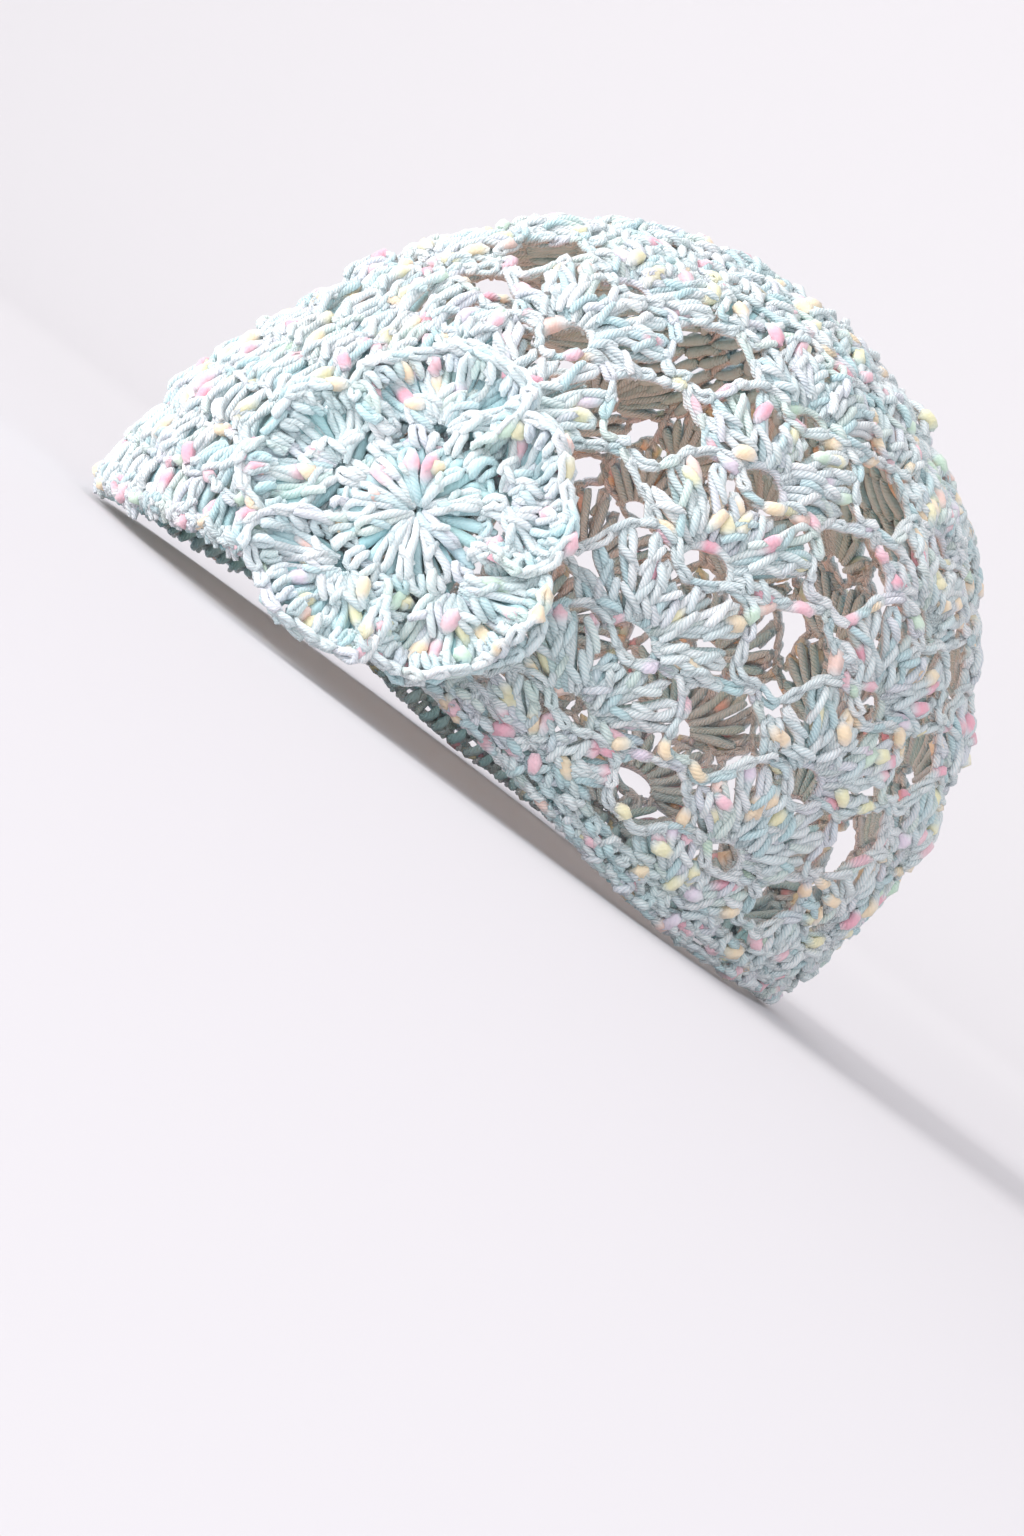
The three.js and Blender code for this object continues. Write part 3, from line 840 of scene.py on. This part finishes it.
def petal_edge(skein, corners, lifts, deep, under):
    """Nested loops along corners on the flower, each with its own height, and small stitches under them."""
    bend = smooth(np.column_stack([corners, lifts]), 6)
    s, place = beside(bend)

    def chart(x, y, raised):
        """x runs along the corners in millimetres, and y inward."""
        px, py = place(x, y)
        return flower_chart(px, py, raised + np.interp(x, s, bend[:, 2]))

    count = int(s[-1] / RIM_LOOP_EVERY)
    for k in range(count):
        x = (k + rng.normal(0, 0.1)) * s[-1] / count
        end = x + RIM_LOOP_LENGTH + rng.normal(0, 0.2)
        half = 0.5 + rng.normal(0, 0.05)
        loop(skein, chart, [(x, -0.25), (x, 0.25)], [(end, -half), (end, half)], bow=0.2, over=0.35,
             heights=RIM_LOOP_HEIGHTS, radius=RIM_RADIUS, deep=deep)
    count = int(s[-1] / UNDER_EVERY)
    for k in range(count):
        x = (k + 0.5 + rng.normal(0, 0.12)) * s[-1] / count
        tip = x + rng.normal(0.5, 0.3)
        # Painted shade: the small stitches under the rim are tinted teal by the amount under
        loop(skein, chart, [(x - 0.35, 2.3), (x + 0.35, 2.3)], [(tip - 0.35, 0.6), (tip + 0.35, 0.6)],
             over=0.2, heights=UNDER_HEIGHTS, crossed=0.4, deep=under)


# Materials

FUZZ_SCALE = 2200.0
PATCH_SCALE = 95.0
PLY_RELIEF = 0.00035


def yarn_material(name, depth=0.6, groove_shade_tint=(0.78, 0.9, 0.93)):
    """Matte cotton: the tint of each length, its plies as a fine relief with painted shade in their grooves,
    and soft patches.
    """
    material = bpy.data.materials.new(name)
    material.use_nodes = True
    nodes = material.node_tree.nodes
    link = material.node_tree.links.new
    shader = nodes["Principled BSDF"]
    shader.inputs["Roughness"].default_value = 0.92
    shader.inputs["Sheen Weight"].default_value = 0.25
    shader.inputs["Subsurface Weight"].default_value = 0.4
    shader.inputs["Subsurface Radius"].default_value = (1.0, 1.0, 1.0)
    shader.inputs["Subsurface Scale"].default_value = 0.002
    shader.inputs["Sheen Roughness"].default_value = 0.6
    shader.inputs["Specular IOR Level"].default_value = 0.25

    def attribute(label):
        made = nodes.new("ShaderNodeAttribute")
        made.attribute_name = label
        return made

    def maths(operation, a, b=None):
        made = nodes.new("ShaderNodeMath")
        made.operation = operation
        for socket, value in zip(made.inputs, (a, b)):
            if isinstance(value, (int, float)):
                socket.default_value = value
            elif value is not None:
                link(value, socket)
        return made.outputs[0]

    # The plies wind round the strand, so their waves follow its girth and the way along it
    girth = nodes.new("ShaderNodeSeparateXYZ")
    link(attribute("girth").outputs["Vector"], girth.inputs[0])
    angle = maths("ARCTAN2", girth.outputs["Y"], girth.outputs["X"])
    along = maths("MULTIPLY", attribute("along").outputs["Fac"], 2 * math.pi * PLIES / PLY_PITCH)
    phase = maths("ADD", maths("MULTIPLY", angle, float(PLIES)), along)
    ply = maths("ABSOLUTE", maths("SINE", maths("MULTIPLY", phase, 0.5)))
    ply = maths("POWER", ply, 0.6)
    # On the swollen slubs the cotton lies open, and the plies fade
    slub = nodes.new("ShaderNodeMapRange")
    slub.inputs["From Min"].default_value = 1.15 * YARN_RADIUS * MM
    slub.inputs["From Max"].default_value = 1.4 * YARN_RADIUS * MM
    slub.inputs["To Min"].default_value = 1.0
    slub.inputs["To Max"].default_value = 0.2
    link(attribute("thick").outputs["Fac"], slub.inputs["Value"])
    ply = maths("SUBTRACT", 1.0, maths("MULTIPLY", maths("SUBTRACT", 1.0, ply), slub.outputs["Result"]))

    place = nodes.new("ShaderNodeTexCoord")
    fuzz = nodes.new("ShaderNodeTexNoise")
    fuzz.inputs["Scale"].default_value = FUZZ_SCALE
    fuzz.inputs["Detail"].default_value = 3.0
    link(place.outputs["Object"], fuzz.inputs["Vector"])
    height = maths("ADD", ply, maths("MULTIPLY", fuzz.outputs["Fac"], 0.5))
    relief = nodes.new("ShaderNodeBump")
    relief.inputs["Strength"].default_value = depth
    relief.inputs["Distance"].default_value = PLY_RELIEF
    link(height, relief.inputs["Height"])
    link(relief.outputs["Normal"], shader.inputs["Normal"])

    patches = nodes.new("ShaderNodeTexNoise")
    patches.inputs["Scale"].default_value = PATCH_SCALE
    patches.inputs["Detail"].default_value = 2.0
    link(place.outputs["Object"], patches.inputs["Vector"])
    ramp = nodes.new("ShaderNodeValToRGB")
    ramp.color_ramp.elements[0].position = 0.3
    ramp.color_ramp.elements[0].color = (0.94, 1.0, 1.0, 1)
    ramp.color_ramp.elements[1].position = 0.7
    ramp.color_ramp.elements[1].color = (1.0, 0.98, 1.0, 1)
    link(patches.outputs["Fac"], ramp.inputs["Fac"])
    shaded = nodes.new("ShaderNodeMix")
    shaded.data_type = "RGBA"
    shaded.blend_type = "MULTIPLY"
    shaded.inputs["Factor"].default_value = 1.0
    link(attribute("tint").outputs["Color"], shaded.inputs["A"])
    link(ramp.outputs["Color"], shaded.inputs["B"])
    # Painted shade: the grooves between the plies are darkened in the colour
    groove_shade = nodes.new("ShaderNodeMix")
    groove_shade.data_type = "RGBA"
    groove_shade.blend_type = "MULTIPLY"
    groove_shade.inputs["B"].default_value = (*groove_shade_tint, 1)
    link(maths("SUBTRACT", 1.0, ply), groove_shade.inputs["Factor"])
    link(shaded.outputs["Result"], groove_shade.inputs["A"])
    link(groove_shade.outputs["Result"], shader.inputs["Base Color"])
    return material


def stage_material(back):
    """A matte pale surface with painted shade: a little darker toward the viewer than it is behind the hat.
    """
    material = bpy.data.materials.new("pale_stage")
    material.use_nodes = True
    nodes = material.node_tree.nodes
    link = material.node_tree.links.new
    shader = nodes["Principled BSDF"]
    shader.inputs["Roughness"].default_value = 0.95
    place = nodes.new("ShaderNodeTexCoord")
    depth = nodes.new("ShaderNodeVectorMath")
    depth.operation = "DOT_PRODUCT"
    depth.inputs[1].default_value = back
    fade = nodes.new("ShaderNodeMapRange")
    fade.inputs["From Min"].default_value = -0.25
    fade.inputs["From Max"].default_value = 0.9
    # Painted shade: the colour runs from darker toward the viewer to lighter behind the hat
    ramp = nodes.new("ShaderNodeValToRGB")
    ramp.color_ramp.elements[0].color = (0.685, 0.665, 0.69, 1)
    ramp.color_ramp.elements[1].color = (0.725, 0.71, 0.725, 1)
    link(place.outputs["Object"], depth.inputs[0])
    link(depth.outputs["Value"], fade.inputs["Value"])
    link(fade.outputs["Result"], ramp.inputs["Fac"])
    link(ramp.outputs["Color"], shader.inputs["Base Color"])
    return material


def dress(name, skein, material, slot, *nodes):
    """Makes a piece of a skein, and puts it in place of its solids."""
    piece = bpy.data.objects.new(name, skein.mesh(name))
    bpy.context.scene.collection.objects.link(piece)
    piece.data.materials.clear()
    piece.data.materials.append(material)
    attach(piece, "root")
    if nodes:
        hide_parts(*nodes)
    return piece


# The stage

FLOOR_REACH = 3.0
SWEEP_RADIUS = 0.8
WALL_HEIGHT = 3.5
SWEEP_STEPS = 16


def build_stage():
    """A pale floor that turns up into a wall behind the hat."""
    a = math.radians(CAMERA_AZIMUTH)
    back = Vector((-math.sin(a), math.cos(a), 0))
    side = Vector((back.y, -back.x, 0))
    outline = [(-FLOOR_REACH, 0.0)]
    for k in range(SWEEP_STEPS + 1):
        turn = math.pi / 2 * k / SWEEP_STEPS
        out = FLOOR_REACH * 0.5 + SWEEP_RADIUS * math.sin(turn)
        outline.append((out, SWEEP_RADIUS * (1 - math.cos(turn))))
    outline.append((FLOOR_REACH * 0.5 + SWEEP_RADIUS, WALL_HEIGHT))
    shape = bmesh.new()
    last = None
    for out, height in outline:
        middle = back * out + Vector((0, 0, height))
        pair = [shape.verts.new(middle + side * s * FLOOR_REACH) for s in (-1, 1)]
        if last:
            shape.faces.new((last[0], last[1], pair[1], pair[0]))
        last = pair
    mesh = bpy.data.meshes.new("backdrop")
    shape.to_mesh(mesh)
    shape.free()
    for face in mesh.polygons:
        face.use_smooth = True
    floor = bpy.data.objects.new("backdrop", mesh)
    bpy.context.scene.collection.objects.link(floor)
    mesh.materials.append(stage_material(back))


# Camera

CAMERA_AZIMUTH = 73.0
CAMERA_ELEVATION = 1.5
LENS = 100.0
DISTANCE = 0.609
PHOTO_WIDTH = 1024
PHOTO_HEIGHT = 1536
SENSOR = 36.0
DOME_PIXEL = (560, 638)
UP_IN_PHOTO = (0.606, 0.795)  # the crown's axis in the photograph, across and up


def build_camera():
    """The view, its roll and its framing; gives the directions that the lights go by."""
    data = bpy.data.cameras.new("camera")
    data.lens = LENS
    data.sensor_width = SENSOR
    data.sensor_fit = "AUTO"
    camera = bpy.data.objects.new("camera", data)
    bpy.context.scene.collection.objects.link(camera)
    bpy.context.scene.camera = camera
    a = math.radians(CAMERA_AZIMUTH)
    e = math.radians(CAMERA_ELEVATION)
    toward = Vector((math.sin(a) * math.cos(e), -math.cos(a) * math.cos(e), math.sin(e)))
    right = Vector((0, 0, 1)).cross(toward).normalized()
    up = toward.cross(right)
    roll = math.atan2(UP_IN_PHOTO[0], UP_IN_PHOTO[1])
    image_right = right * math.cos(roll) + up * math.sin(roll)
    image_up = up * math.cos(roll) - right * math.sin(roll)
    per_pixel = SENSOR / LENS * DISTANCE / PHOTO_HEIGHT
    dome = Vector((AXIS[0] * MM, AXIS[1] * MM, DOME_CENTRE_Z * MM))
    across = (PHOTO_WIDTH / 2 - DOME_PIXEL[0]) * per_pixel
    above = (DOME_PIXEL[1] - PHOTO_HEIGHT / 2) * per_pixel
    aim = dome + image_right * across + image_up * above
    camera.location = aim + toward * DISTANCE
    camera.rotation_mode = "QUATERNION"
    camera.rotation_quaternion = Matrix((image_right, image_up, toward)).transposed().to_quaternion()
    data.clip_start = 0.02
    data.clip_end = 20
    return right, up, toward, dome


def build_lights(right, up, toward, dome):
    """A wide window on the left, a weak fill, a light on the backdrop and a warm one in the hollow."""
    bpy.context.scene.view_settings.view_transform = "Standard"
    world = bpy.data.worlds.new("world")
    bpy.context.scene.world = world
    world.use_nodes = True
    sky = world.node_tree.nodes["Background"]
    sky.inputs["Color"].default_value = (0.985, 0.975, 1.0, 1)
    sky.inputs["Strength"].default_value = 0.78

    def area(name, place, size, power, color, target=Vector((0, 0, 0))):
        light = bpy.data.lights.new(name, "AREA")
        light.shape = "DISK"
        light.size = size
        light.energy = power
        light.color = color
        lamp = bpy.data.objects.new(name, light)
        bpy.context.scene.collection.objects.link(lamp)
        lamp.location = dome + place
        lamp.rotation_mode = "QUATERNION"
        lamp.rotation_quaternion = (place - target).to_track_quat("Z", "Y")
        return lamp

    area("window", -right * 1.05 + up * 0.42 + toward * 0.5, 0.9, 15.9, (1.0, 0.985, 0.985))
    area("fill", right * 0.1 + up * 0.3 + toward * 1.2, 1.0, 3.9, (0.97, 0.98, 1.0))
    area("backdrop_light", up * 1.7 - toward * 0.9, 1.2, 13.0, (1.0, 0.985, 1.0), -toward * 2.3 + up * 0.5)
    below = area("hollow_light", Vector((0, 0, -0.02)), 0.05, 0.027, (1.0, 0.42, 0.24), Vector((0, 0, 0.05)))
    below.visible_camera = False


build_lights(*build_camera())
build_stage()

yarn = yarn_material("slub_cotton")
# The flower's painted shade in the ply grooves is paler
flower_yarn = yarn_material("flower_cotton", 0.4, (0.84, 0.94, 0.96))
dress("lace_shells", lace_posts(), yarn, "yarn", "lace_side")
dress("lace_chains", lace_chains(), yarn, "yarn")
dress("lace_backing", lace_backing(), yarn, "yarn")
dress("crown_rounds", crown_rounds(), yarn, "yarn", "crown_top")
dress("band_rows", band_rows(), yarn, "yarn", "band")
dress("peak_rows", peak_rows(), yarn, "yarn", "peak")
dress("flower_rosette", rosette(), flower_yarn, "flower_yarn", "flower_centre")
for number in range(PETALS):
    dress(f"petal_{number + 1}", petal(number), flower_yarn, "flower_yarn", f"flower_petal_{number + 1}")
